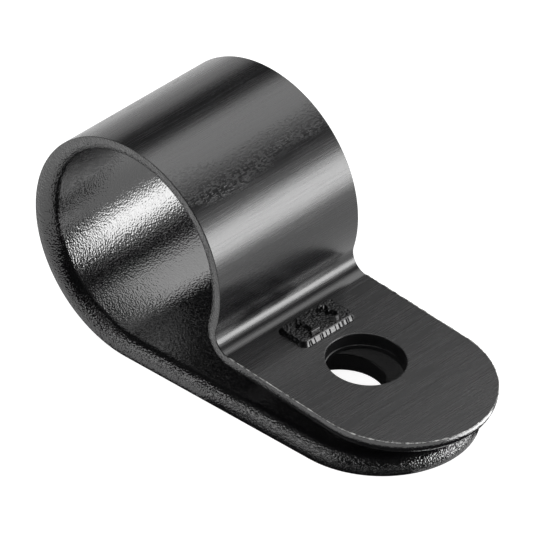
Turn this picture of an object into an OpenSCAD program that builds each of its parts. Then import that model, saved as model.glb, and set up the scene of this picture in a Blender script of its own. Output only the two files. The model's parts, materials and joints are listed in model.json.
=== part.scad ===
// P clip: one moulded nylon strap that loops round a bundle and ends in two flat legs.
// The clip is shown open, as moulded: its mounting face is on z = 0, the legs point along +X,
// the loop's axis is parallel to Y, and the origin is the centre of the lower leg's screw hole.

/* [Strap] */
// Width of the strap, across the clip
strap_w = 12.7; // [10:0.1:16]
// Thickness of the strap between its flat outer and inner faces
strap_t = 1.2; // [1.1:0.05:1.5]
// Radius that rounds the strap's inner edges, so that they don't cut a cable
edge_r = 0.9; // [0.4:0.05:1]

/* [Loop] */
// Inside diameter of the open loop
loop_d = 13.4; // [11:0.1:18]
// Radius of the outer corner where the loop turns into the upper leg
fold_r = 1.25; // [0.6:0.05:2]

/* [Legs] */
// Clear height between the legs, below the loop's outermost point
mouth_gap = 1.9; // [1.5:0.1:3]
// Angle by which the upper leg leans towards the lower one
lean_angle = 4.5; // [0:0.25:5]
// Length of the upper leg, from the end of the fold to its tip
upper_leg_l = 14.7; // [14.3:0.1:18]
// Length of the lower leg, from below the loop's outermost point to its tip
lower_leg_l = 14.1; // [13.5:0.1:18]

/* [Screw holes] */
// Diameter of the hole in the upper leg
upper_hole_d = 5.1; // [3.5:0.1:6]
// Distance from the upper leg's tip to the centre of that hole
upper_hole_inset = 8.95; // [7:0.05:9.4]
// Diameter of the hole in the lower leg
lower_hole_d = 5.6; // [4:0.1:6.5]
// Distance from the lower leg's tip to the centre of that hole
lower_hole_inset = 9.5; // [7.5:0.1:11]

/* [Size pad] */
// Length of the raised size pad, along the upper leg
pad_l = 2.5; // [1.5:0.1:2.8]
// Width of the pad, across the clip
pad_w = 5; // [3:0.1:8]
// Height of the pad above the upper leg
pad_h = 0.4; // [0.2:0.05:0.6]
// Radius of the pad's corners
pad_corner_r = 0.45; // [0.2:0.05:0.7]
// Gap between the end of the fold and the pad
pad_set = 0.1; // [0:0.05:0.3]
// Distance of the pad's centre from the middle of the leg, towards +Y
pad_shift = 0.25; // [-1:0.05:1]

/* [Quality] */
// Steps in a full circle, for the preview
$fn = 128; // [48:8:256]

/* [Hidden] */

nylon_black = [0.12, 0.12, 0.125];
past = 0.3; // how far a cutter runs past the face that it opens

// The fold and the upper leg are this much proud of the loop all round, as where two halves of a
// mould meet, and the fold laps over the end of the loop by the length below it.
proud = 0.01;
lap = 0.05;

half_w = strap_w / 2;
edge_land = strap_t - edge_r; // flat side wall that is left above the rounded edge
loop_r = loop_d / 2 + strap_t; // radius of the loop's outer face

// The upper leg's outer face is a line in the side view. These are its normal, its direction
// and its distance from the loop's axis, with the axis at the side view's origin.
lean_normal = [sin(lean_angle), cos(lean_angle)];
lean_run = [cos(lean_angle), -sin(lean_angle)];
face_at_loop = [loop_r, -loop_r + strap_t + mouth_gap + strap_t / cos(lean_angle)];
face_offset = lean_normal * face_at_loop;

// The fold's centre is fold_r from that line and from the loop's outer face, so the fold meets
// both of them smoothly. The flat part of the leg starts below that centre.
centre_offset = face_offset + fold_r;
flat_from = sqrt(pow(loop_r + fold_r, 2) - pow(centre_offset, 2));
fold_centre = centre_offset * lean_normal + flat_from * lean_run;
loop_end = atan2(fold_centre[1], fold_centre[0]);
fold_sweep = 90 - loop_end - lean_angle;

// Distances from the loop's axis, along each leg
pad_at = flat_from + pad_set + pad_l / 2;
upper_hole_at = flat_from + upper_leg_l - upper_hole_inset;
lower_reach = loop_r + lower_leg_l;
lower_hole_at = lower_reach - lower_hole_inset;

// Half of the strap's section: x is the distance from its middle, y the depth from its outer face.
module half_section(grow) {
    translate([0, -grow]) {
        square([half_w + grow, edge_land + grow]);
        square([half_w - edge_r, strap_t + 2 * grow]);
    }
    translate([half_w - edge_r, edge_land])
        intersection() {
            circle(r = edge_r + grow);
            square(edge_r + grow);
        }
}

module section(grow) {
    half_section(grow);
    mirror([1, 0]) half_section(grow);
}

// A leg that runs along +X from the origin and ends in a half round, with its outer face on z = 0
// and its inner face above it.
module leg(length, grow = 0) {
    straight = length - half_w;
    rotate([90, 0, 90])
        linear_extrude(straight)
            section(grow);
    translate([straight, 0, 0])
        rotate([0, 0, -90])
            rotate_extrude(angle = 180)
                half_section(grow);
}

// The strap bent about the Y axis, clockwise in the side view from straight below the axis. Its
// outer face has radius r. The strap lies inside that face, or outside it when it is a hollow.
module bend(r, sweep, grow = 0, hollow = false) {
    rotate([90, 0, 0])
        rotate([0, 0, 270])
            rotate_extrude(angle = -sweep)
                translate([r, 0])
                    rotate(hollow ? -90 : 90)
                        section(grow);
}

// Puts its children on the upper leg's outer face, `along` from the foot of the loop's axis,
// with +X along the leg and +Z out of the face.
module on_upper_leg(along) {
    place = face_offset * lean_normal + along * lean_run;
    translate([place[0], 0, place[1]])
        rotate([0, lean_angle, 0])
            children();
}

module loop_and_lower_leg() {
    bend(loop_r, 270 - loop_end);
    translate([0, 0, -loop_r])
        leg(lower_reach);
}

module fold_and_upper_leg() {
    lap_angle = lap / fold_r * 180 / PI;
    on_upper_leg(flat_from) {
        translate([0, 0, fold_r])
            bend(fold_r, fold_sweep + lap_angle, proud, hollow = true);
        mirror([0, 0, 1])
            leg(upper_leg_l, proud);
    }
}

module size_pad() {
    root = strap_t / 2; // how deep the pad is rooted in the leg
    corner_x = pad_l / 2 - pad_corner_r;
    corner_y = pad_w / 2 - pad_corner_r;
    on_upper_leg(pad_at)
        translate([0, pad_shift, -root])
            linear_extrude(root + pad_h) {
                square([pad_l, 2 * corner_y], center = true);
                square([2 * corner_x, pad_w], center = true);
                for (x = [-corner_x, corner_x], y = [-corner_y, corner_y])
                    translate([x, y])
                        circle(r = pad_corner_r);
            }
}

module lower_hole() {
    translate([lower_hole_at, 0, -loop_r - past])
        cylinder(d = lower_hole_d, h = strap_t + 2 * past);
}

module upper_hole() {
    on_upper_leg(upper_hole_at)
        translate([0, 0, -strap_t - past])
            cylinder(d = upper_hole_d, h = strap_t + pad_h + 2 * past);
}

module clip() {
    color(nylon_black)
        translate([-lower_hole_at, 0, loop_r])
            difference() {
                union() {
                    loop_and_lower_leg();
                    fold_and_upper_leg();
                    size_pad();
                }
                lower_hole();
                upper_hole();
            }
}

clip();
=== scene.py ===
"""A moulded nylon P clip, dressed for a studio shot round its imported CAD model.

The clip is one piece. Its strap is a section swept along a path, so Geometry Nodes build it: legs,
loop and fold, the half round tips, the two screw holes and the raised size pad with its figures.
A second, small piece is the thin flash that the mould leaves round the upper leg. The satin outer
faces, the spark-grained inner faces, the pad and the bores are finishes of the same black nylon.
"""

import json
import math

import bmesh
import bpy
from bpy.props import FloatProperty, FloatVectorProperty, IntProperty, PointerProperty
from bpy.types import Operator, Panel, PropertyGroup
from mathutils import Matrix, Vector


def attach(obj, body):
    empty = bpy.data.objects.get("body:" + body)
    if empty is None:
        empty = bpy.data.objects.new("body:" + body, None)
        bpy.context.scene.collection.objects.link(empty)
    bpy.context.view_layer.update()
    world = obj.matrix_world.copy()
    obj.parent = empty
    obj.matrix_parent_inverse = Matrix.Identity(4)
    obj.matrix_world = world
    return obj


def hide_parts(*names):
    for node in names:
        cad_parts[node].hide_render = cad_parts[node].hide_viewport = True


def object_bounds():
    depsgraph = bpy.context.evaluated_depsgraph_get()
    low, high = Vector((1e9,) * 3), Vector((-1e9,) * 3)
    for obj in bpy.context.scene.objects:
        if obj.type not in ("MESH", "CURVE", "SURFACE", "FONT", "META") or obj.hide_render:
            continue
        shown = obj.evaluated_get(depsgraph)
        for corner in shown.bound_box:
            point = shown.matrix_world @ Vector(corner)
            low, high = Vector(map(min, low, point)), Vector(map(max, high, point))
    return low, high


bl_info = {
    "name": "P Clip",
    "version": (1, 0, 0),
    "blender": (4, 5, 0),
    "location": "View3D > Sidebar > P Clip",
    "description": "Builds a moulded nylon P clip and the studio that it is shown in",
    "category": "Add Mesh",
}

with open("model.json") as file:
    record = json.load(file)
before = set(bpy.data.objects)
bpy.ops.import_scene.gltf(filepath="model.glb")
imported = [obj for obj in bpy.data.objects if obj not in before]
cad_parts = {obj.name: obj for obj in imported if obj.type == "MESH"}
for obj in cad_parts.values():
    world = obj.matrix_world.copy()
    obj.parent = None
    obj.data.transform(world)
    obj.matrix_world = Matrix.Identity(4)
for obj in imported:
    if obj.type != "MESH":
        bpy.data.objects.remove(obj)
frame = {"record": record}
CAD_LOW, CAD_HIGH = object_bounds()

MM = 0.001
HALF_WIDTH = (CAD_HIGH.y - CAD_LOW.y) / 2
MOUNTS = {mount["name"]: mount for mount in frame["record"]["mounts"]}
LOOP = MOUNTS["bundle_loop"]
LOWER_HOLE = MOUNTS["lower_screw_hole"]
UPPER_HOLE = MOUNTS["upper_screw_hole"]

EDGE = "edge"           # point attribute: 1 on the rounded edges, 0 on the inner faces
WELD = 1e-6             # points nearer than this are one point
PAST = 0.5 * MM         # how far a cutter runs past the face that it opens
SKIN = 0.04 * MM        # how deep the polished outer skin reaches
NEAR_BORE = 0.01 * MM   # how far from a hole's wall a face can be part of it
TOOLED = (0.6, 0.97)    # how far a wall that the engraving tool cut faces the tip

# Turns between neighbouring faces: less than the first is flat, more than the second is sharp.
LEVEL = math.cos(math.radians(0.2))
SHARP = math.cos(math.radians(40.0))

# The rubbed line lies on the loop, 54 degrees above its axis.
SCUFF_HEIGHT = LOOP["pos_m"][2] * (1.0 + math.sin(math.radians(54.0)))

# Steps in the parts that are turned, bent or rounded
FOLD_STEPS = 33
TIP_STEPS = 96
HOLE_STEPS = 128
EDGE_STEPS = 12
CORNER_STEPS = 3
PAD_STEPS = 8
BOWL_STEPS = 24
RIM_STEPS = 4

# How many ribs the pad's wall has room for, and how many of them and of the burrs there are
RIB_COUNT = 25
RIB_SHARE = 0.72
BURR_SHARE = 0.06

KINDS = {
    float: "NodeSocketFloat",
    int: "NodeSocketInt",
    tuple: "NodeSocketVector",
    bpy.types.Material: "NodeSocketMaterial",
}


# ---- Sizes, colours and lights that a user would change ----

def in_mm(name, description, millimetres):
    return FloatProperty(
        name=name, description=description, default=millimetres * MM, unit="LENGTH")


def in_degrees(name, description, degrees):
    return FloatProperty(
        name=name, description=description, default=math.radians(degrees), subtype="ANGLE")


def as_share(name, description, value):
    return FloatProperty(name=name, description=description, default=value, min=0.0, max=1.0)


def as_colour(name, description, value):
    return FloatVectorProperty(
        name=name, description=description, default=value, subtype="COLOR", min=0.0, max=1.0)


class PCLIP_PG_strap(PropertyGroup):
    """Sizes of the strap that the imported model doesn't name"""

    edge_radius: in_mm("Edge Radius", "Rounding along the strap's inner edges", 1.0)
    corner_radius: in_mm("Corner Radius", "Small rounding along the strap's outer edges", 0.06)
    fold_radius: in_mm("Fold Radius", "Outer corner where the loop turns into the upper leg", 1.25)
    lower_tip: in_mm("Lower Tip", "Distance from the lower hole's centre to the leg's tip", 9.5)
    rim_radius: in_mm("Rim Radius", "Rounding of the screw holes' rims", 0.07)
    lip_depth: in_mm("Lip Depth", "Depth of the shut-off ledge in the upper hole", 0.86)
    lip_width: in_mm("Lip Width", "Width of that ledge", 0.05)
    flash_radius: in_mm("Flash Radius", "Thickness of the flash round the upper leg", 0.05)
    seed: IntProperty(name="Seed", description="Picks where the burrs stand", default=3)
    steps: IntProperty(
        name="Steps", description="Steps round a full turn of the loop", default=192, min=24)


class PCLIP_PG_pad(PropertyGroup):
    """Sizes of the raised pad and of the figures on it"""

    length: in_mm("Length", "Length along the leg", 2.5)
    width: in_mm("Width", "Width across the leg", 5.0)
    height: in_mm("Height", "Height above the leg", 0.34)
    corner: in_mm("Corner", "Radius of the pad's corners", 0.45)
    draft: in_mm("Draft", "How far the walls lean in over their height", 0.2)
    rim: in_mm("Rim", "Rounding round the pad's top", 0.06)
    set_back: in_mm("Set Back", "Gap between the fold and the pad", 0.1)
    shift: in_mm("Shift", "Distance of the pad from the middle of the leg", 0.25)
    figure_height: in_mm("Figure Height", "Height of a figure", 1.75)
    figure_relief: in_mm("Figure Relief", "How far the figures stand above the pad", 0.27)
    figure_spacing: in_mm("Figure Spacing", "Distance of each figure from the pad's middle", 1.0)
    stroke: in_mm("Stroke", "Width of a figure's stroke", 0.36)


class PCLIP_PG_nylon(PropertyGroup):
    """Colour and finish of the nylon"""

    colour: as_colour("Colour", "Colour of the nylon", (0.005, 0.005, 0.0054))
    # The flash's colour is pale partly because thin stretched nylon is pale, and partly as painted
    # highlight: it stands in for the bright line that the lights draw along the flash.
    flash_tone_and_highlight: as_colour(
        "Flash Colour", "Colour of the thin flash at the upper leg's edge", (0.45, 0.45, 0.44))
    smooth_roughness: as_share("Smooth Roughness", "Roughness of the polished outer faces", 0.27)
    grain_roughness: as_share("Grain Roughness", "Roughness of the grained inner faces", 0.15)
    grain_size: in_mm("Grain Size", "Width of one grain", 0.12)
    grain_depth: in_mm("Grain Depth", "Depth of the grain", 0.016)
    streak_depth: in_mm("Streak Depth", "Depth of the streaks on the outer faces", 0.006)


class PCLIP_PG_studio(PropertyGroup):
    """Camera and lights"""

    azimuth: in_degrees("Azimuth", "Angle of the camera round the clip", 42.35)
    elevation: in_degrees("Elevation", "Angle of the camera above the floor", 34.38)
    roll: in_degrees("Roll", "Turn of the camera about its own axis", 1.27)
    distance: in_mm("Distance", "Distance from the camera to the loop's axis", 619.0)
    aim_right: in_mm("Aim Right", "How far the camera aims to the right of the loop's axis", 4.364)
    aim_down: in_mm("Aim Down", "How far the camera aims below the loop's axis", 3.415)
    view_width: in_mm("View Width", "Width of the view at that distance", 33.34)


GROUPS = {
    "pclip_strap": PCLIP_PG_strap,
    "pclip_pad": PCLIP_PG_pad,
    "pclip_nylon": PCLIP_PG_nylon,
    "pclip_studio": PCLIP_PG_studio,
}


# ---- The strap's side view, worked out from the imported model's mounts ----

class SideView:
    """The strap's path in the side view: lower leg, loop, fold and upper leg, in that order.

    Its x and y are the clip's X and Z. The path is the strap's outer face, and the strap's inner
    face lies on the path's right.
    """

    def __init__(self, sizes):
        self.width = 2 * HALF_WIDTH
        self.loop_axis = Vector((LOOP["pos_m"][0], LOOP["pos_m"][2]))
        self.thickness = self.loop_axis.y - LOOP["dims"]["r_mm"] * MM
        self.loop_radius = self.loop_axis.y
        self.lean = math.atan2(UPPER_HOLE["axis"][0], UPPER_HOLE["axis"][2])
        self.normal = Vector((math.sin(self.lean), math.cos(self.lean)))
        self.run = Vector((math.cos(self.lean), -math.sin(self.lean)))
        self.fold_radius = sizes.fold_radius

        # The fold touches the upper leg's outer face and the loop's, so its centre is one fold
        # radius from both.
        hole = Vector((UPPER_HOLE["pos_m"][0], UPPER_HOLE["pos_m"][2]))
        face = (hole - self.loop_axis).dot(self.normal)
        rise = face + sizes.fold_radius
        reach = math.sqrt((self.loop_radius + sizes.fold_radius) ** 2 - rise ** 2)
        from_axis = self.normal * rise + self.run * reach
        self.fold_centre = self.loop_axis + from_axis
        self.loop_end = math.atan2(from_axis.y, from_axis.x)
        self.loop_sweep = 1.5 * math.pi - self.loop_end
        self.fold_sweep = 0.5 * math.pi - self.loop_end - self.lean
        self.leg_start = self.fold_centre - self.normal * sizes.fold_radius
        self.upper_hole_at = (hole - self.leg_start).dot(self.run)
        self.upper_length = (CAD_HIGH.x - self.leg_start.x) / self.run.x
        self.lower_tip = LOWER_HOLE["pos_m"][0] + sizes.lower_tip

    def on_upper_leg(self, point):
        from_leg = Vector((point.x, point.z)) - self.leg_start
        beside = from_leg.dot(self.normal) > -1.5 * self.thickness
        return beside and from_leg.dot(self.run) > 0.0

    def depth(self, point):
        """How deep a point is below the strap's outer face; it is less than nothing on the pad."""
        flat = Vector((point.x, point.z))
        if self.on_upper_leg(point):
            return (self.leg_start - flat).dot(self.normal)
        from_axis = flat - self.loop_axis
        from_fold = (flat - self.fold_centre).length - self.fold_radius
        past_loop = from_axis.x > 0.0 and math.atan2(from_axis.y, from_axis.x) < self.loop_end
        if past_loop and from_fold < 1.1 * self.thickness:
            return from_fold
        if from_axis.x > 0.0 and point.z < 1.5 * self.thickness:
            return point.z
        return self.loop_radius - from_axis.length


# ---- Geometry Nodes, written down as formulas ----

def linked(thing):
    bpy.context.scene.collection.objects.link(thing)
    return thing


def formula(operation, swapped=False):
    """A method that adds a maths node for a value and another value or number."""
    def method(self, other):
        pair = (other, self) if swapped else (self, other)
        return self.tree.math(operation, *pair)
    return method


class Value:
    """A node's output that can be added to, scaled and divided like a number."""

    __add__, __radd__ = formula("ADD"), formula("ADD", swapped=True)
    __sub__, __rsub__ = formula("SUBTRACT"), formula("SUBTRACT", swapped=True)
    __truediv__, __rtruediv__ = formula("DIVIDE"), formula("DIVIDE", swapped=True)
    __mul__ = formula("MULTIPLY")

    def __init__(self, tree, socket):
        self.tree = tree
        self.socket = socket

    def __neg__(self):
        return self * -1.0


class Tree:
    """A node tree under construction, with one method for each kind of step."""

    def __init__(self, tree):
        self.tree = tree

    def join(self, value, socket):
        """Links a value to a socket, or sets a plain number or vector on it."""
        if isinstance(value, Value):
            self.tree.links.new(value.socket, socket)
        elif value is not None:
            socket.default_value = value

    def whole(self, kind, inputs=None, **settings):
        """Adds a node, applies its settings and fills its inputs."""
        node = self.tree.nodes.new(kind)
        for name, setting in settings.items():
            setattr(node, name, setting)
        for key, value in (inputs or {}).items():
            self.join(value, node.inputs[key])
        return node

    def node(self, kind, inputs=None, output=0, **settings):
        """Adds such a node too, and gives one of its outputs."""
        return Value(self, self.whole(kind, inputs, **settings).outputs[output])

    def math(self, operation, *values):
        return self.node("ShaderNodeMath", dict(enumerate(values)), operation=operation)

    def vector_math(self, operation, *values):
        return self.node("ShaderNodeVectorMath", dict(enumerate(values)), operation=operation)

    def vector(self, x=0.0, y=0.0, z=0.0):
        return self.node("ShaderNodeCombineXYZ", {"X": x, "Y": y, "Z": z})

    def axis(self, vector, name):
        """One of a vector's coordinates."""
        return self.node("ShaderNodeSeparateXYZ", {"Vector": vector}, output=name)

    def stretched(self, place, x, y, z):
        """Coordinates squeezed along some axes, so that a pattern on them is drawn out there."""
        return self.vector_math("MULTIPLY", place, (x, y, z))

    def noise(self, place, size, detail=2.0, roughness=0.5):
        """Noise whose blobs are about that size, in metres."""
        return self.node("ShaderNodeTexNoise", {
            "Vector": place, "Scale": 1.0 / size,
            "Detail": detail, "Roughness": roughness}, output="Fac")

    def spread(self, value, low, high, to_low=0.0, to_high=1.0):
        """A value's range from low to high, moved to another range and held there."""
        return self.node("ShaderNodeMapRange", {
            "Value": value, "From Min": low, "From Max": high,
            "To Min": to_low, "To Max": to_high})


class Group(Tree):
    """A node group, with named inputs and outputs."""

    def __init__(self, name, kind):
        super().__init__(bpy.data.node_groups.new(name, kind))
        self.start = self.tree.nodes.new("NodeGroupInput")
        self.end = self.tree.nodes.new("NodeGroupOutput")

    def input(self, name, value):
        """Adds an input of the value's own kind, and gives it as it is inside the group."""
        kind = KINDS[type(value)]
        socket = self.tree.interface.new_socket(name=name, in_out="INPUT", socket_type=kind)
        socket.default_value = value
        return Value(self, self.start.outputs[name])

    def output(self, name, value, kind="NodeSocketFloat"):
        self.tree.interface.new_socket(name=name, in_out="OUTPUT", socket_type=kind)
        self.join(value, self.end.inputs[name])


class Body(Group):
    """A Geometry Nodes tree that builds a mesh from the values that it is given by name."""

    def __init__(self, name, values):
        super().__init__(name, "GeometryNodeTree")
        self.values = values
        self.size = {key: self.input(key, value) for key, value in values.items()}

    def random(self, kind, limits, output=0):
        """A random value of that kind for each point."""
        limits = {**limits, "Seed": self.size["Seed"]}
        return self.node("FunctionNodeRandomValue", limits, output, data_type=kind)

    def joined(self, *parts):
        node = self.tree.nodes.new("GeometryNodeJoinGeometry")
        for part in reversed(parts):
            self.tree.links.new(part.socket, node.inputs[0])
        return Value(self, node.outputs[0])

    def placed(self, part, at=None, turn=None, scale=None):
        return self.node("GeometryNodeTransform", {
            "Geometry": part, "Translation": at, "Rotation": turn, "Scale": scale})

    def welded(self, part):
        return self.node("GeometryNodeMergeByDistance", {"Geometry": part, "Distance": WELD})

    def chosen(self, choices, kind):
        """A value for each point, by its index."""
        index = self.node("GeometryNodeInputIndex")
        node = self.whole("GeometryNodeIndexSwitch", {"Index": index}, data_type=kind)
        while len(node.index_switch_items) < len(choices):
            node.index_switch_items.new()
        for i, choice in enumerate(choices):
            self.join(choice, node.inputs[i + 1])
        return Value(self, node.outputs[0])

    def outline(self, corners, closed=False):
        """A curve through corners given as x, y and, where one is round, its radius and steps."""
        corners = [(*corner, 0.0, 1)[:4] for corner in corners]
        points = self.node("GeometryNodePoints", {
            "Count": len(corners),
            "Position": self.chosen([self.vector(x, y) for x, y, _, _ in corners], "VECTOR"),
        })
        curve = self.node("GeometryNodePointsToCurves", {"Points": points})
        if closed:
            curve = self.node("GeometryNodeSetSplineCyclic", {"Geometry": curve, "Cyclic": True})
        return self.node("GeometryNodeFilletCurve", {
            "Curve": curve,
            "Count": self.chosen([steps for _, _, _, steps in corners], "INT"),
            "Radius": self.chosen([radius for _, _, radius, _ in corners], "FLOAT"),
            "Limit Radius": True,
        }, mode="POLY")

    def swept(self, path, profile, caps=False, scale=1.0):
        """A profile swept along a path in the XY plane, its x to the right and its y down."""
        upright = self.node("GeometryNodeSetCurveNormal", {"Curve": path}, mode="Z_UP")
        return self.node("GeometryNodeCurveToMesh", {
            "Curve": upright, "Profile Curve": profile, "Scale": scale, "Fill Caps": caps})

    def line(self, start, end):
        return self.node("GeometryNodeCurvePrimitiveLine", {"Start": start, "End": end})

    def arc(self, radius, start, sweep, steps):
        return self.node("GeometryNodeCurveArc", {
            "Resolution": steps, "Radius": radius, "Start Angle": start, "Sweep Angle": sweep})

    def circle(self, radius, steps):
        return self.node(
            "GeometryNodeCurvePrimitiveCircle", {"Resolution": steps, "Radius": radius})

    def turned(self, profile, radius, steps):
        """A profile turned about the Z axis, its x measured outwards from that radius."""
        return self.swept(self.circle(radius, steps), profile)

    def combined(self, operation, parts, body=None):
        """A boolean, worked out at a thousand times the size, where it is more reliable."""
        inputs = {"Mesh 2": self.placed(self.joined(*parts), scale=(1000.0, 1000.0, 1000.0))}
        if body:
            inputs["Mesh 1"] = self.placed(body, scale=(1000.0, 1000.0, 1000.0))
        mesh = self.node(
            "GeometryNodeMeshBoolean", inputs, "Mesh", operation=operation, solver="EXACT")
        return self.placed(mesh, scale=(0.001, 0.001, 0.001))

    def cut(self, body, *tools):
        return self.combined("DIFFERENCE", tools, body)

    def fused(self, *parts):
        return self.combined("UNION", parts)

    def made(self, part, name):
        """Ends the tree with that part and runs it: the result is a plain mesh object."""
        real = self.node("GeometryNodeRealizeInstances", {"Geometry": part})
        self.output("Geometry", self.node("GeometryNodeSetMaterial", {
            "Geometry": real, "Material": self.size["Material"]}), "NodeSocketGeometry")
        source = linked(bpy.data.objects.new(name + "_source", bpy.data.meshes.new(name)))
        modifier = source.modifiers.new(name, "NODES")
        modifier.node_group = self.tree
        for item in self.tree.interface.items_tree:
            if item.in_out == "INPUT":
                modifier[item.identifier] = self.values[item.name]
        depsgraph = bpy.context.evaluated_depsgraph_get()
        mesh = bpy.data.meshes.new_from_object(source.evaluated_get(depsgraph))
        bpy.data.meshes.remove(source.data)
        mesh.name = name
        return linked(bpy.data.objects.new(name, mesh))


# ---- The clip ----

def strap_along_path(tree, size):
    """The strap from one leg's half round to the other's, with open ends."""
    half = size["Width"] / 2.0
    corner = (size["Corner Radius"], CORNER_STEPS)
    edge = (size["Edge Radius"], EDGE_STEPS)
    depth = size["Thickness"]
    section = tree.outline([
        (0.0, 0.0), (0.0, -half, *corner), (depth, -half, *edge),
        (depth, 0.0), (depth, half, *edge), (0.0, half, *corner),
    ], closed=True)

    lower = tree.line(
        tree.vector(size["Lower Straight"]), tree.vector(tree.axis(size["Loop Axis"], "X")))
    loop = tree.arc(size["Loop Radius"], 1.5 * math.pi, -size["Loop Sweep"], size["Steps"])
    loop = tree.placed(loop, at=size["Loop Axis"])
    start = 2.5 * math.pi - size["Loop Sweep"]
    fold = tree.arc(size["Fold Radius"], start, size["Fold Sweep"], FOLD_STEPS)
    fold = tree.placed(fold, at=size["Fold Centre"])
    run = tree.vector(tree.math("COSINE", size["Lean"]), -tree.math("SINE", size["Lean"]))
    upper = tree.node("GeometryNodeCurvePrimitiveLine", {
        "Start": size["Leg Start"], "Direction": run, "Length": size["Upper Straight"],
    }, mode="DIRECTION")
    whole = tree.joined(lower, loop, fold, upper)
    points = tree.node("GeometryNodeCurveToPoints", {"Curve": whole}, mode="EVALUATED")
    path = tree.node("GeometryNodePointsToCurves", {"Points": tree.welded(points)})
    return tree.placed(tree.swept(path, section), turn=(math.pi / 2, 0.0, 0.0))


def half_round(tree, size):
    """A leg's tip: half of the section turned about the leg's end, its outer face down."""
    half = size["Width"] / 2.0
    profile = tree.outline([
        (-half, -size["Thickness"]),
        (0.0, -size["Thickness"], size["Edge Radius"], EDGE_STEPS),
        (0.0, 0.0, size["Corner Radius"], CORNER_STEPS),
        (-half, 0.0),
    ])
    disc = tree.turned(profile, half, TIP_STEPS)
    middle = tree.axis(tree.node("GeometryNodeInputPosition"), "X")
    behind = tree.node("FunctionNodeCompare", {0: middle, 1: 0.0}, operation="LESS_THAN")
    return tree.node(
        "GeometryNodeDeleteGeometry", {"Geometry": disc, "Selection": behind}, domain="FACE")


def hole_cutter(tree, size, radius, lip):
    """A screw hole's cutter, with rounded rims, from the leg's outer face at z = 0 down.

    The lip is a ledge in the wall, as where two core pins meet; it is left out when lip is None.
    """
    rim = size["Rim Radius"]
    depth = size["Thickness"]
    corners = [(-radius, -PAST), (rim, -PAST), (rim, 0.0), (0.0, 0.0, rim, RIM_STEPS)]
    inner = 0.0
    if lip:
        inner = -size["Lip Width"]
        corners += [(0.0, lip), (inner, lip + size["Lip Width"] * 0.4)]
    corners += [
        (inner, depth, rim, RIM_STEPS), (inner + rim, depth),
        (inner + rim, depth + PAST), (-radius, depth + PAST)]
    return tree.turned(tree.outline(corners), radius, HOLE_STEPS)


def raised_pad(tree, size):
    """A rounded rectangle with leaning walls, from its root below z = 0 to its top."""
    length, width, corner = size["Pad Length"], size["Pad Width"], size["Pad Corner"]
    height, draft, rim = size["Pad Height"], size["Pad Draft"], size["Pad Rim"]
    x, y = length / 2.0, width / 2.0
    sides = [(-x, -y), (x, -y), (x, y), (-x, y)]
    outline = tree.outline([(*place, corner, PAD_STEPS) for place in sides], closed=True)
    base = tree.node("GeometryNodeFillCurve", {"Curve": outline}, mode="NGONS")
    base = tree.placed(base, at=tree.vector(z=-size["Root"]))
    levels = [(-rim, 0.0), (height - rim, draft), (height - rim * 0.3, draft + rim * 0.3),
              (height, draft + rim)]
    solid, top, below, inset_below = base, None, -size["Root"], 0.0
    for level, inset in levels:
        extrude = tree.whole("GeometryNodeExtrudeMesh", {
            "Mesh": solid, "Selection": top, "Individual": False,
            "Offset": tree.vector(z=level - below)})
        raised, top = Value(tree, extrude.outputs["Mesh"]), Value(tree, extrude.outputs["Top"])
        place = tree.node("GeometryNodeInputPosition")
        shrink = tree.vector((x - inset) / (x - inset_below), (y - inset) / (y - inset_below), 1.0)
        solid = tree.node("GeometryNodeSetPosition", {
            "Geometry": raised, "Selection": top,
            "Position": tree.vector_math("MULTIPLY", place, shrink)})
        below, inset_below = level, inset
    floor = tree.node("GeometryNodeFlipFaces", {"Mesh": base})
    return tree.welded(tree.joined(solid, floor))


def figure(tree, size, strokes):
    """A raised figure from its strokes, each a curve in the figure's own plane."""
    half, relief, rim = size["Stroke"] / 2.0, size["Figure Relief"], size["Pad Rim"]
    lean = size["Stroke"] * 0.3
    profile = tree.outline([
        (-half, rim),
        (lean - half, -relief, rim, 2),
        (half - lean, -relief, rim, 2),
        (half, rim),
    ], closed=True)
    return tree.fused(*[tree.swept(stroke, profile, caps=True) for stroke in strokes])


def figure_one(tree, size):
    """A plain 1: an upright with its flag and its foot."""
    tall = size["Figure Height"] - size["Stroke"]
    upright = tree.outline([(0.0, 0.0), (0.0, tall)])
    flag = tree.outline([(0.0, tall), (tall * -0.32, tall * 0.72)])
    foot = tree.outline([(tall * -0.26, 0.0), (tall * 0.26, 0.0)])
    return figure(tree, size, [upright, flag, foot])


def figure_three(tree, size):
    """A plain 3: two bowls, the lower one larger."""
    tall = size["Figure Height"] - size["Stroke"]
    bowls = []
    for radius, middle, start in ((0.23, 0.77, 155.0), (0.27, 0.27, 90.0)):
        arc = tree.arc(tall * radius, math.radians(start), math.radians(-245.0), BOWL_STEPS)
        bowls.append(tree.placed(arc, at=tree.vector(y=tall * middle)))
    return figure(tree, size, bowls)


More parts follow.
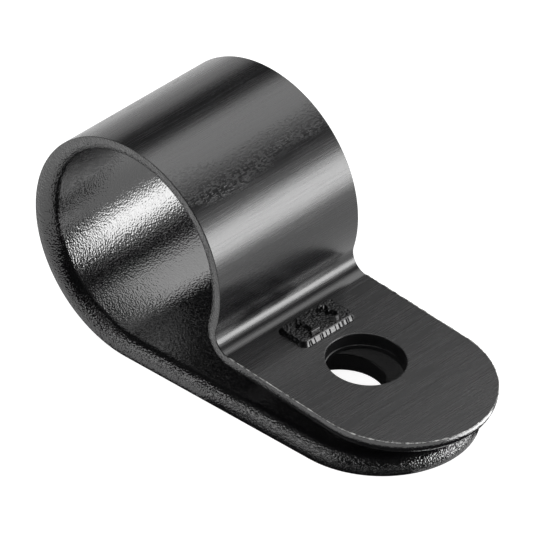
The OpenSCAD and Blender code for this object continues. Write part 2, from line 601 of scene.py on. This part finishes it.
def tool_marks(tree, size):
    """Thin upright ribs of odd widths on the pad's wall towards the tip, left by the cutter."""
    height, draft = size["Pad Height"], size["Pad Draft"]
    x, z = size["Pad Length"] / 2.0 - draft * 0.4, height * 0.33
    reach = size["Pad Width"] / 2.0 - size["Pad Corner"]
    line = tree.line(tree.vector(x, -reach, z), tree.vector(x, reach, z))
    points = tree.node("GeometryNodeCurveToPoints", {"Curve": line, "Count": RIB_COUNT})
    rib = tree.node("GeometryNodeMeshCylinder", {
        "Vertices": 4, "Radius": draft * 0.2, "Depth": height * 1.25})
    lean = tree.vector(y=-tree.math("ARCTAN2", draft, height))
    twist = tree.random("FLOAT_VECTOR", {"Min": (-0.12, 0.0, -0.2), "Max": (0.12, 0.0, 0.2)})
    ribs = tree.node("GeometryNodeInstanceOnPoints", {
        "Points": points, "Instance": rib, "Rotation": tree.vector_math("ADD", lean, twist),
        "Scale": tree.random("FLOAT_VECTOR", {"Min": (0.7, 0.5, 0.85), "Max": (1.1, 2.2, 1.0)}),
        "Selection": tree.random("BOOLEAN", {"Probability": RIB_SHARE}, 3)})
    return tree.node("GeometryNodeRealizeInstances", {"Geometry": ribs})


def size_pad(tree, size):
    """The pad with its two figures, which read from the tip side, with their tops to the loop."""
    reading = (0.0, 0.0, math.pi / 2)
    foot = (size["Figure Height"] - size["Stroke"]) / 2.0
    figures = []
    for make, side in ((figure_one, -1.0), (figure_three, 1.0)):
        place = tree.vector(foot, size["Figure Spacing"] * side, size["Pad Height"])
        figures.append(tree.placed(make(tree, size), at=place, turn=reading))
    return tree.fused(raised_pad(tree, size), tool_marks(tree, size), *figures)


def titled(group, names, prefix=""):
    """Some of a group's values, under the names that they have as a tree's inputs."""
    return {prefix + name.replace("_", " ").title(): getattr(group, name) for name in names}


def make_clip(sizes, pad, side, material):
    """The whole clip: strap, tips, screw holes and size pad as one closed body."""
    tree = Body("p_clip", {
        **titled(side, ("width", "thickness", "loop_radius", "loop_sweep", "fold_radius",
                        "fold_sweep", "lean", "upper_hole_at")),
        **titled(sizes, ("edge_radius", "corner_radius", "rim_radius", "lip_depth", "lip_width",
                         "steps", "seed")),
        **titled(pad, ("length", "width", "height", "corner", "draft", "rim", "shift"), "Pad "),
        **titled(pad, ("figure_height", "figure_relief", "figure_spacing", "stroke")),
        "Loop Axis": (*side.loop_axis, 0.0),
        "Fold Centre": (*side.fold_centre, 0.0),
        "Leg Start": (*side.leg_start, 0.0),
        "Lower Straight": side.lower_tip - HALF_WIDTH,
        "Upper Straight": side.upper_length - HALF_WIDTH,
        "Upper Hole Radius": UPPER_HOLE["dims"]["r_mm"] * MM,
        "Lower Hole Radius": LOWER_HOLE["dims"]["r_mm"] * MM,
        "Root": side.thickness / 2,
        "Pad At": pad.set_back + pad.length / 2,
        "Material": material,
    })
    size = tree.size
    upside_down = (math.pi, 0.0, 0.0)
    start = size["Leg Start"]
    on_leg = {
        "at": tree.vector(tree.axis(start, "X"), 0.0, tree.axis(start, "Y")),
        "turn": tree.vector(y=size["Lean"]),
    }

    tip = half_round(tree, size)
    lower_tip = tree.placed(tip, at=tree.vector(size["Lower Straight"]))
    upper_tip = tree.placed(tip, turn=upside_down)
    upper_tip = tree.placed(upper_tip, at=tree.vector(size["Upper Straight"]))
    upper_tip = tree.placed(upper_tip, **on_leg)
    strap = tree.welded(tree.joined(strap_along_path(tree, size), lower_tip, upper_tip))

    lower_hole = tree.placed(
        hole_cutter(tree, size, size["Lower Hole Radius"], None), turn=upside_down)
    upper_hole = tree.placed(
        hole_cutter(tree, size, size["Upper Hole Radius"], size["Lip Depth"]),
        at=tree.vector(size["Upper Hole At"]))
    upper_hole = tree.placed(upper_hole, **on_leg)
    raised = tree.placed(size_pad(tree, size), at=tree.vector(size["Pad At"], size["Pad Shift"]))
    raised = tree.placed(raised, **on_leg)
    strap = tree.cut(strap, tree.welded(tree.joined(lower_hole, upper_hole)))
    return tree.made(tree.fused(strap, raised), "moulded_clip")


# ---- Finishes ----

class Finish(Tree):
    """A material, with its Principled shader's inputs set by name."""

    def __init__(self, name, colour, roughness):
        self.material = bpy.data.materials.new(name)
        self.material.use_nodes = True
        super().__init__(self.material.node_tree)
        self.shader = self.tree.nodes["Principled BSDF"]
        self.set("Base Color", (*colour, 1.0))
        self.set("Roughness", roughness)

    def set(self, name, value):
        self.join(value, self.shader.inputs[name])

    def place(self):
        return self.node("ShaderNodeTexCoord", output="Object")

    def group(self, tree, inputs):
        """A node group's outputs by name, with its inputs filled."""
        node = self.whole("ShaderNodeGroup", inputs, node_tree=tree)
        return {output.name: Value(self, output) for output in node.outputs}

    def mix(self, factor, low, high):
        """A base colour between two others, by a factor."""
        self.set("Base Color", self.node("ShaderNodeMix", {
            "Factor": factor, "A": (*low, 1.0), "B": (*high, 1.0),
        }, output="Result", data_type="RGBA"))

    def bump(self, height, depth):
        self.set("Normal", self.node("ShaderNodeBump", {
            "Height": height, "Distance": depth}, output="Normal"))


def spark_grain_group():
    """The pebbled skin that a spark-eroded mould leaves."""
    tree = Group("spark_grain", "ShaderNodeTree")
    place = tree.input("Place", (0.0, 0.0, 0.0))
    size = tree.input("Size", 0.16 * MM)
    pebbles = tree.node("ShaderNodeTexVoronoi", {
        "Vector": place, "Scale": 1.0 / size, "Smoothness": 0.4,
    }, output="Distance", feature="SMOOTH_F1")
    soft = tree.noise(place, size * 1.3, 1.0)
    coarse = tree.noise(place, size * 5.0, 1.0)
    height = (1.0 - pebbles) * 0.7 + soft * 0.6 + coarse * 0.25
    tree.output("Height", height)
    tree.output("Mask", tree.spread(soft, 0.35, 0.65))
    return tree.tree


def mould_streaks_group():
    """Fine lines along the loop's axis, as the polished half of the mould leaves them."""
    tree = Group("mould_streaks", "ShaderNodeTree")
    place = tree.input("Place", (0.0, 0.0, 0.0))
    size = tree.input("Size", 0.08 * MM)
    fine = tree.noise(tree.stretched(place, 1.0, 0.025, 1.0), size, 3.0, 0.6)
    broad = tree.noise(tree.stretched(place, 1.0, 0.05, 1.0), size * 5.0, 1.0)
    tree.output("Height", fine * 0.5 + broad * 0.3)
    tree.output("Mask", tree.spread(fine, 0.35, 0.65))
    return tree.tree


def scuffs_group():
    """Small dark specks, thick along a rubbed line at one height and thin elsewhere."""
    tree = Group("scuffs", "ShaderNodeTree")
    place = tree.input("Place", (0.0, 0.0, 0.0))
    size = tree.input("Size", 0.13 * MM)
    specks = tree.noise(tree.stretched(place, 1.0, 0.5, 1.0), size, 2.0, 0.6)
    patches = tree.noise(tree.stretched(place, 1.0, 0.4, 1.0), size * 20.0)
    rubbed = tree.math("ABSOLUTE", tree.axis(place, "Z") - tree.input("Height", 14.2 * MM))
    line = tree.spread(rubbed + (patches - 0.5) * (2.5 * MM), 0.3 * MM, 0.7 * MM, 1.0, 0.0)
    amount = tree.spread(specks, 0.5, 0.6) * (line + tree.spread(patches, 0.55, 0.65) * 0.2)
    tree.output("Mask", amount)
    return tree.tree


def brighter(colour, factor):
    return [factor * channel for channel in colour]


def polished_nylon(nylon, streaks, scuffs):
    """The outer faces: satin, with fine streaks and dull specks."""
    tree = Finish("nylon_polished", nylon.colour, nylon.smooth_roughness)
    place = tree.place()
    streak = tree.group(streaks, {"Place": place})
    scuff = tree.group(scuffs, {"Place": place, "Height": SCUFF_HEIGHT})["Mask"]
    tree.mix(streak["Mask"], nylon.colour, brighter(nylon.colour, 1.8))
    base = nylon.smooth_roughness - 0.04
    tree.set("Roughness", streak["Mask"] * 0.06 + scuff * 0.1 + base)
    tree.bump(streak["Height"] + scuff * -0.9, nylon.streak_depth)
    return tree.material


def grained_nylon(nylon, grain):
    """The inner faces and the edges: spark grain that sparkles, deeper on the rounded edges."""
    tree = Finish("nylon_grained", nylon.colour, nylon.grain_roughness)
    tree.set("Specular IOR Level", 0.82)
    pebble = tree.group(grain, {"Place": tree.place(), "Size": nylon.grain_size})
    tree.set("Roughness", (nylon.grain_roughness + 0.06) - pebble["Mask"] * 0.12)
    edge = tree.node("ShaderNodeAttribute", output="Fac", attribute_name=EDGE)
    tree.bump(pebble["Height"] * (1.0 + edge * 2.6), nylon.grain_depth)
    return tree.material


def pad_nylon(nylon, grain):
    """The size pad and its figures: the same grain, deeper and duller."""
    tree = Finish("nylon_pad", nylon.colour, nylon.grain_roughness * 1.6)
    tree.set("Specular IOR Level", 0.22)
    pebble = tree.group(grain, {"Place": tree.place(), "Size": nylon.grain_size * 1.3})
    tree.bump(pebble["Height"], nylon.grain_depth * 6.0)
    return tree.material


def tooled_nylon(nylon):
    """The pad's wall towards the tip: glossy, with the upright cuts of the engraving tool."""
    tree = Finish("nylon_tooled", nylon.colour, nylon.grain_roughness * 0.8)
    tree.set("Specular IOR Level", 1.0)
    tree.set("IOR", 1.9)
    cuts = tree.noise(tree.stretched(tree.place(), 0.12, 1.0, 0.12), 0.22 * MM, 2.0, 0.6)
    tree.bump(tree.spread(cuts, 0.4, 0.6), 0.012 * MM)
    return tree.material


def bore_nylon(nylon):
    """The screw holes' walls: smooth, with faint lines round them."""
    tree = Finish("nylon_bore", nylon.colour, nylon.smooth_roughness)
    lines = tree.noise(tree.stretched(tree.place(), 0.15, 0.15, 1.0), 0.08 * MM)
    tree.bump(lines, nylon.streak_depth)
    return tree.material


def make_finishes(nylon):
    """The clip's materials by finish, in the order of its slots."""
    grain = spark_grain_group()
    return {
        "polished": polished_nylon(nylon, mould_streaks_group(), scuffs_group()),
        "grained": grained_nylon(nylon, grain),
        "pad": pad_nylon(nylon, grain),
        "tooled": tooled_nylon(nylon),
        "bore": bore_nylon(nylon),
    }


def finish_of(point, normal, side):
    """Which finish a face has, by its middle and its normal."""
    for hole in (LOWER_HOLE, UPPER_HOLE):
        axis = Vector(hole["axis"])
        away = point - Vector(hole["pos_m"])
        from_wall = (away - axis * away.dot(axis)).length - hole["dims"]["r_mm"] * MM
        if from_wall < NEAR_BORE and abs(normal.dot(axis)) < 0.9:
            return "bore"
    depth = side.depth(point)
    if depth < -SKIN:
        to_tip = normal.dot(Vector((side.run.x, 0.0, side.run.y)))
        return "tooled" if TOOLED[0] < to_tip < TOOLED[1] else "pad"
    return "polished" if depth < SKIN else "grained"


def flat_areas(work):
    """For each face, the area of the flat patch that it is part of."""
    area = [0.0] * len(work.faces)
    seen = set()
    for first in work.faces:
        if first.index in seen:
            continue
        patch, waiting = [], [first]
        seen.add(first.index)
        while waiting:
            face = waiting.pop()
            patch.append(face)
            for edge in face.edges:
                for other in edge.link_faces:
                    if other.index not in seen and other.normal.dot(first.normal) > LEVEL:
                        seen.add(other.index)
                        waiting.append(other)
        total = sum(face.calc_area() for face in patch)
        for face in patch:
            area[face.index] = total
    return area


def shade_evenly(mesh):
    """Smooth shading that keeps flat patches flat and sharp edges sharp.

    Each corner's normal is the mean of the faces round it that turn little from its own face,
    each weighed by the flat patch that it is part of.
    """
    work = bmesh.new()
    work.from_mesh(mesh)
    area = flat_areas(work)
    normals = []
    for face in work.faces:
        for corner in face.loops:
            total = Vector()
            for other in corner.vert.link_faces:
                if other.normal.dot(face.normal) > SHARP:
                    total += other.normal * area[other.index]
            normals.append(total.normalized())
    work.free()
    mesh.shade_smooth()
    mesh.normals_split_custom_set(normals)


def apply_finishes(clip, side, sizes, materials):
    """Gives each face its finish, marks the rounded edges and sets the shading."""
    mesh = clip.data
    mesh.materials.clear()
    for material in materials.values():
        mesh.materials.append(material)
    slots = list(materials)
    for face in mesh.polygons:
        face.material_index = slots.index(finish_of(face.center, face.normal, side))
    edge = mesh.attributes.new(EDGE, "FLOAT", "POINT")
    marked = 0.3 * sizes.edge_radius
    for vertex, mark in zip(mesh.vertices, edge.data):
        above = side.thickness - side.depth(vertex.co)
        deep = min(max(above / marked, 0.0), 1.0)
        mark.value = 0.0 if side.on_upper_leg(vertex.co) else deep
    shade_evenly(mesh)


# ---- Moulding flash ----

def flash_material(nylon):
    """Thin nylon, stretched and pale; its pale colour is partly painted highlight along the flash's
    edge.
    """
    tree = Finish("nylon_flash", nylon.colour, 0.3)
    # Pale patches mix a brighter nylon with the flash colour: the pale look of thin nylon, with
    # painted highlight in it.
    pale = tree.noise(tree.place(), 0.4 * MM, 3.0, 0.7)
    tree.mix(tree.spread(pale, 0.4, 0.6), brighter(nylon.colour, 3.0), nylon.flash_tone_and_highlight)
    tree.bump(pale, nylon.streak_depth)
    return tree.material


def make_flash(sizes, side, material):
    """A ragged bead round the upper leg's outer edge, with burrs standing from it."""
    tree = Body("moulding_flash", {
        "Half Width": HALF_WIDTH - sizes.flash_radius / 2,
        "Straight": side.upper_length - HALF_WIDTH,
        "Radius": sizes.flash_radius,
        "Leg Start": (side.leg_start.x, 0.0, side.leg_start.y),
        "Lean": side.lean,
        "Seed": sizes.seed,
        "Material": material,
    })
    half, straight, radius = [tree.size[name] for name in ("Half Width", "Straight", "Radius")]
    edge = tree.outline([
        (0.0, -half),
        (straight + half, -half, half, TIP_STEPS),
        (straight + half, half, half, TIP_STEPS),
        (0.0, half),
    ])
    edge = tree.node(
        "GeometryNodeResampleCurve", {"Curve": edge, "Length": 0.06 * MM}, mode="LENGTH")
    lumps = tree.noise(tree.node("GeometryNodeInputPosition"), 0.5 * MM, 4.0, 0.8)
    thickness = tree.spread(lumps, 0.4, 0.62, 0.15, 1.0)
    bead = tree.swept(edge, tree.circle(radius, 8), caps=True, scale=thickness)

    burr = tree.node("GeometryNodeMeshCone", {
        "Vertices": 5, "Radius Bottom": radius * 0.5, "Depth": radius * 4.0})
    points = tree.node("GeometryNodeCurveToPoints", {"Curve": edge}, mode="EVALUATED")
    burrs = tree.node("GeometryNodeInstanceOnPoints", {
        "Points": points, "Instance": burr,
        "Selection": tree.random("BOOLEAN", {"Probability": BURR_SHARE}, 3),
        "Rotation": tree.random("FLOAT_VECTOR", {"Min": (-1.4, -1.4, 0.0), "Max": (1.4, 1.4, 6.0)}),
        "Scale": tree.random("FLOAT", {2: 0.3, 3: 1.1}, 1)})
    whole = tree.placed(tree.joined(bead, burrs), at=tree.size["Leg Start"],
                        turn=tree.vector(y=tree.size["Lean"]))
    flash = tree.made(whole, "moulding_flash")
    flash.data.shade_smooth()
    return flash


# ---- Studio ----

ACROSS_CLIP = Vector((0.0, 1.0, 0.0))
SOFTBOX_AWAY = 0.3        # distance of the softboxes from the clip
# The black cards on the floor are painted shadow: they stand for the clip's shadow on the floor,
# and only reflections see them.
SHADOW_CARD_RISE = 0.02 * MM     # how far the black cards on the floor stand above it
SHADOW_APRON_START = -6.0 * MM   # where along the lower leg the apron starts
ROOM_AS_LIGHT = 0.4       # strength of the white room as a light; it is seen with strength 1
PAPER = (0.36, 0.36, 0.36)
PAPER_GLOW = 0.93


def rectangle(x, y):
    """The corners of a rectangle with those half sides, about the origin."""
    return [Vector((a, b, 0.0)) for a, b in ((-x, -y), (x, -y), (x, y), (-x, y))]


def camera_axes(studio):
    """The directions to the camera, to its right and to its top."""
    a, e, roll = studio.azimuth, studio.elevation, studio.roll
    back = Vector((math.sin(a) * math.cos(e), -math.cos(a) * math.cos(e), math.sin(e)))
    right = Vector((math.cos(a), math.sin(a), 0.0))
    up = back.cross(right)
    turned_right = right * math.cos(roll) + up * math.sin(roll)
    turned_up = up * math.cos(roll) - right * math.sin(roll)
    return back, turned_right, turned_up


def facing(place, depth, along):
    """A matrix at a place whose z is that depth, with its x as near to along as it can be."""
    across = (along - depth * along.dot(depth)).normalized()
    turn = Matrix((across, depth.cross(across), depth)).transposed()
    return Matrix.Translation(place) @ turn.to_4x4()


def make_camera(studio):
    back, right, up = camera_axes(studio)
    loop_axis = Vector(LOOP["pos_m"])
    aim = loop_axis + right * studio.aim_right - up * studio.aim_down
    place = loop_axis + back * studio.distance
    depth = (place - aim).normalized()
    data = bpy.data.cameras.new("camera")
    data.lens = data.sensor_width * studio.distance / studio.view_width
    data.clip_start = 0.01
    camera = linked(bpy.data.objects.new("camera", data))
    camera.matrix_world = facing(place, depth, right)
    bpy.context.scene.camera = camera


def card_place(direction, along, distance):
    """A place at a distance in a direction from the clip's middle, turned to face it."""
    depth = direction.normalized()
    return facing((CAD_LOW + CAD_HIGH) / 2 + depth * distance, depth, along)


def loop_reflection(studio, degrees):
    """The direction that the loop's outer face reflects to the camera, by its angle above +X."""
    back = camera_axes(studio)[0]
    flat = math.hypot(back.x, back.z)
    angle = math.radians(degrees)
    return Vector((flat * math.cos(angle), -back.y, flat * math.sin(angle)))


def make_softbox(name, place, width, height, radiance):
    """An area light of that size whose face has that radiance."""
    data = bpy.data.lights.new(name, "AREA")
    data.shape = "RECTANGLE"
    data.size = width
    data.size_y = height
    data.energy = radiance * math.pi * width * height
    light = linked(bpy.data.objects.new(name, data))
    light.matrix_world = place
    light.visible_camera = False


def make_table_card():
    """A small light on the floor beside the upper leg's tip, which brightens its lower edge."""
    angle, away, shift, rise = math.radians(30.0), 9.5 * MM, 1.8 * MM, 0.05 * MM
    down = Vector((0.0, 0.0, -1.0))
    out = Vector((math.cos(angle), math.sin(angle), 0.0))
    place = Vector((CAD_HIGH.x - HALF_WIDTH, 0.0, rise)) + out * away + down.cross(out) * shift
    make_softbox("table_card", facing(place, down, out), 4.0 * MM, 8.4 * MM, radiance=6.5)


def make_black(name, corners, faces):
    """A black card that only reflections see."""
    mesh = bpy.data.meshes.new(name)
    mesh.from_pydata(corners, [], faces)
    black = Finish(name, (0.0, 0.0, 0.0), 1.0)
    black.set("Specular IOR Level", 0.0)
    mesh.materials.append(black.material)
    flag = linked(bpy.data.objects.new(name, mesh))
    flag.visible_camera = False
    flag.visible_diffuse = False
    flag.visible_shadow = False


def make_flag(name, place, width, height):
    """A black rectangle at a place that its corners are measured from."""
    corners = rectangle(width / 2, height / 2)
    make_black(name, [place @ corner for corner in corners], [(0, 1, 2, 3)])


def make_painted_shadow_apron(inner, outer):
    """A black strip on the floor, along the legs' near side and round their tips: painted shadow of
    the clip on the floor, which only reflections see.

    Its sides are that far outside the clip's.
    """
    centre = CAD_HIGH.x - HALF_WIDTH
    reaches = (HALF_WIDTH + inner, HALF_WIDTH + outer)
    corners = [Vector((SHADOW_APRON_START, -reach, SHADOW_CARD_RISE)) for reach in reaches]
    for step in range(14):
        angle = math.radians(12.0 * step - 90.0)
        for reach in reaches:
            x, y = centre + reach * math.cos(angle), reach * math.sin(angle)
            corners.append(Vector((x, y, SHADOW_CARD_RISE)))
    faces = [(i, i + 1, i + 3, i + 2) for i in range(0, len(corners) - 2, 2)]
    make_black("apron_flag", corners, faces)


def make_floor():
    """A wide sheet of white paper, lit evenly by a glow of its own."""
    mesh = bpy.data.meshes.new("floor")
    mesh.from_pydata(rectangle(3.0, 3.0), [], [(0, 1, 2, 3)])
    paper = Finish("paper", PAPER, 1.0)
    paper.set("Specular IOR Level", 0.0)
    paper.set("Emission Color", (1.0, 1.0, 1.0, 1.0))
    paper.set("Emission Strength", PAPER_GLOW)
    mesh.materials.append(paper.material)
    floor = linked(bpy.data.objects.new("floor", mesh))


def make_world():
    """A white room, dimmer as a light than where the camera or a reflection sees it."""
    world = bpy.data.worlds.new("studio")
    bpy.context.scene.world = world
    world.use_nodes = True
    tree = Tree(world.node_tree)
    camera, glossy, through = [
        tree.node("ShaderNodeLightPath", output=f"Is {ray} Ray")
        for ray in ("Camera", "Glossy", "Transmission")]
    seen = tree.math("MAXIMUM", tree.math("MAXIMUM", camera, glossy), through)
    background = tree.tree.nodes["Background"]
    tree.join(tree.spread(seen, 0.0, 1.0, ROOM_AS_LIGHT, 1.0), background.inputs["Strength"])
    tree.join((1.0, 1.0, 1.0, 1.0), background.inputs["Color"])


def make_lights(studio):
    """The softboxes: name, direction from the clip, width, height and radiance."""
    softboxes = [
        ("side_softbox", loop_reflection(studio, 8.0), 0.2, 0.15, 11.5),
        ("top_softbox", loop_reflection(studio, 96.0), 0.26, 0.19, 2.3),
        ("front_softbox", Vector((-0.556, -0.66, 0.5)), 0.16, 0.34, 2.4),
    ]
    for name, direction, width, height, radiance in softboxes:
        place = card_place(direction, ACROSS_CLIP, SOFTBOX_AWAY)
        make_softbox(name, place, width, height, radiance)
    make_table_card()


def make_flags(studio):
    """The flags: name, direction from the clip, direction of the width, distance and sides."""
    # The apron and the card under the clip are painted shadow: black cards on the floor where the
    # clip shades it, seen only in reflections.
    make_painted_shadow_apron(inner=-0.9 * MM, outer=2.0 * MM)
    front, level = Vector((0.674, -0.739, 0.75)), Vector((0.739, 0.674, 0.0))
    flags = [
        ("left_flag", Vector((-0.7, -0.7, 0.7)), Vector((0.7, -0.7, 0.0)), 0.4, 0.7, 0.7),
        ("back_flag", loop_reflection(studio, 136.0), ACROSS_CLIP, 0.32, 0.5, 0.16),
        ("gap_flag", loop_reflection(studio, 53.0), ACROSS_CLIP, 0.32, 0.5, 0.08),
        ("front_flag", front, level, 0.35, 1.0, 0.52),
    ]
    for name, direction, along, distance, width, height in flags:
        make_flag(name, card_place(direction, along, distance), width, height)
    # A black card under the clip: painted shadow of the clip on the floor, which only reflections
    # see.
    under = Matrix.Translation(((CAD_LOW.x + CAD_HIGH.x) / 2 - MM, 0.0, SHADOW_CARD_RISE))
    length, width = CAD_HIGH.x - CAD_LOW.x - 2 * MM, 2 * HALF_WIDTH + 0.4 * MM
    make_flag("under_flag", under, length, width)


# ---- Operators ----

class PCLIP_OT_clip(Operator):
    """Build the moulded clip in the place of its CAD node"""

    bl_idname = "pclip.clip"
    bl_label = "Moulded Clip"

    def execute(self, context):
        sizes = context.scene.pclip_strap
        side = SideView(sizes)
        materials = make_finishes(context.scene.pclip_nylon)
        clip = make_clip(sizes, context.scene.pclip_pad, side, materials["polished"])
        apply_finishes(clip, side, sizes, materials)
        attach(clip, "root")
        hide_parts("clip")
        return {"FINISHED"}


class PCLIP_OT_flash(Operator):
    """Add the thin flash and burrs round the upper leg's edge"""

    bl_idname = "pclip.flash"
    bl_label = "Moulding Flash"

    def execute(self, context):
        sizes = context.scene.pclip_strap
        flash = make_flash(sizes, SideView(sizes), flash_material(context.scene.pclip_nylon))
        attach(flash, "root")
        return {"FINISHED"}


class PCLIP_OT_studio(Operator):
    """Set up the camera, the softboxes, the flags and the floor"""

    bl_idname = "pclip.studio"
    bl_label = "Studio"

    def execute(self, context):
        studio = context.scene.pclip_studio
        context.scene.view_settings.view_transform = "Standard"
        make_camera(studio)
        make_world()
        make_floor()
        make_lights(studio)
        make_flags(studio)
        return {"FINISHED"}


class PCLIP_PT_panel(Panel):
    """The clip's sizes and its operators"""

    bl_idname = "PCLIP_PT_panel"
    bl_label = "P Clip"
    bl_space_type = "VIEW_3D"
    bl_region_type = "UI"
    bl_category = "P Clip"

    def draw(self, context):
        for name in GROUPS:
            box = self.layout.box()
            for item in getattr(context.scene, name).__annotations__:
                box.prop(getattr(context.scene, name), item)
        for operator in OPERATORS:
            self.layout.operator(operator.bl_idname)


OPERATORS = (PCLIP_OT_clip, PCLIP_OT_flash, PCLIP_OT_studio)
CLASSES = (*GROUPS.values(), *OPERATORS, PCLIP_PT_panel)


def register():
    for item in CLASSES:
        bpy.utils.register_class(item)
    for name, group in GROUPS.items():
        setattr(bpy.types.Scene, name, PointerProperty(type=group))


def unregister():
    for name in GROUPS:
        delattr(bpy.types.Scene, name)
    for item in reversed(CLASSES):
        bpy.utils.unregister_class(item)


def main():
    register()
    bpy.ops.pclip.clip()
    bpy.ops.pclip.flash()
    bpy.ops.pclip.studio()


if __name__ == "__main__":
    main()
